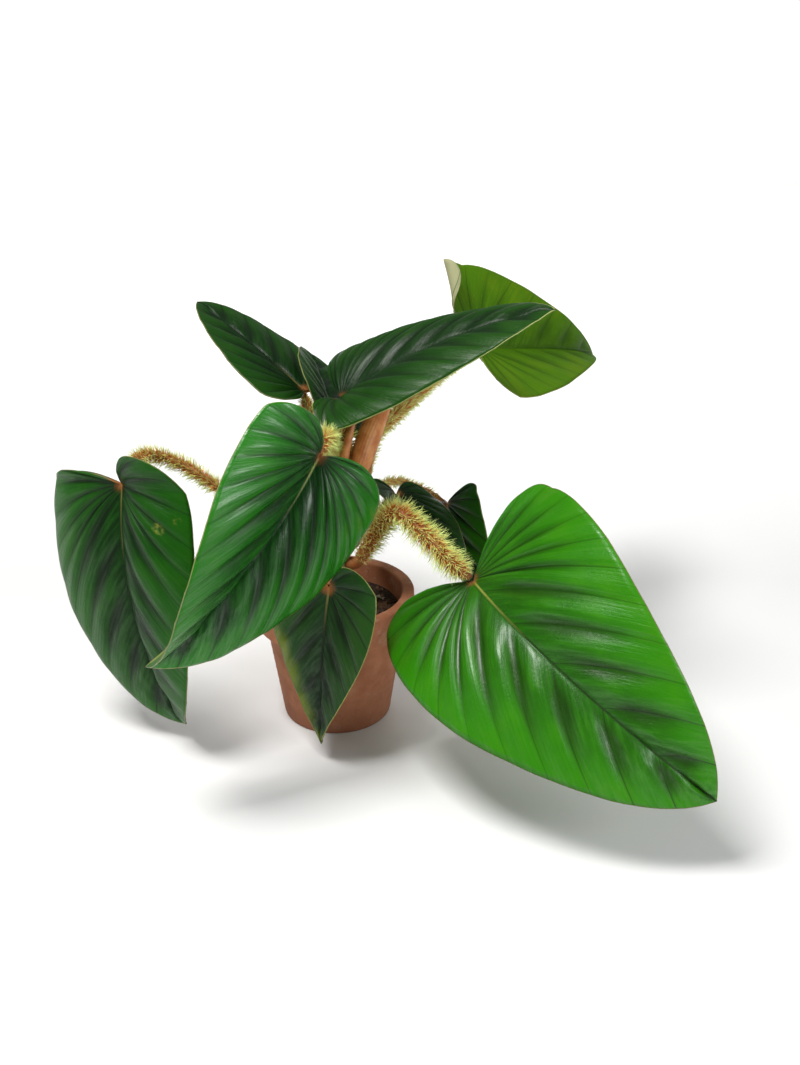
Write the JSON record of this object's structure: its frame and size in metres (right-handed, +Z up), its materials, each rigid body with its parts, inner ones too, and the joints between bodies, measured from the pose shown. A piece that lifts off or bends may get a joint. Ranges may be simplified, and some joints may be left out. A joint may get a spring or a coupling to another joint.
{
  "type": "potted philodendron",
  "caption": "Potted philodendron with glossy, quilted heart-shaped leaves on bristly stalks, on a short stem in a plain clay pot.",
  "frame": {"origin": "middle of the pot's underside", "axes": "+Z up, -Y the front, toward the picture's viewer, +X to the right"},
  "size_m": [0.5101, 0.473, 0.3615],
  "materials": {
    "clay": "matte",
    "mix": "matte",
    "stem": "satin",
    "old_leaf": "gloss",
    "bright_leaf": "gloss",
    "stalk": "satin",
    "sheath": "satin"
  },
  "bodies": {
    "root": {"pot": "clay", "soil": "mix", "stem": "stem", "sheath_open": "sheath", "sheath_bud": "sheath", "blade_front_right": "bright_leaf", "blade_front_left": "old_leaf", "blade_far_left": "old_leaf", "blade_upper_right": "old_leaf", "blade_upper_left": "old_leaf", "blade_young": "bright_leaf", "blade_low_front": "old_leaf", "blade_inner_right": "old_leaf", "blade_rear_right": "old_leaf", "blade_back": "old_leaf", "stalk_front_right": "stalk", "stalk_front_left": "stalk", "stalk_far_left": "stalk", "stalk_upper_right": "stalk", "stalk_upper_left": "stalk", "stalk_young": "stalk", "stalk_low_front": "stalk", "stalk_inner_right": "stalk", "stalk_rear_right": "stalk", "stalk_back": "stalk"}
  },
  "joints": []
}
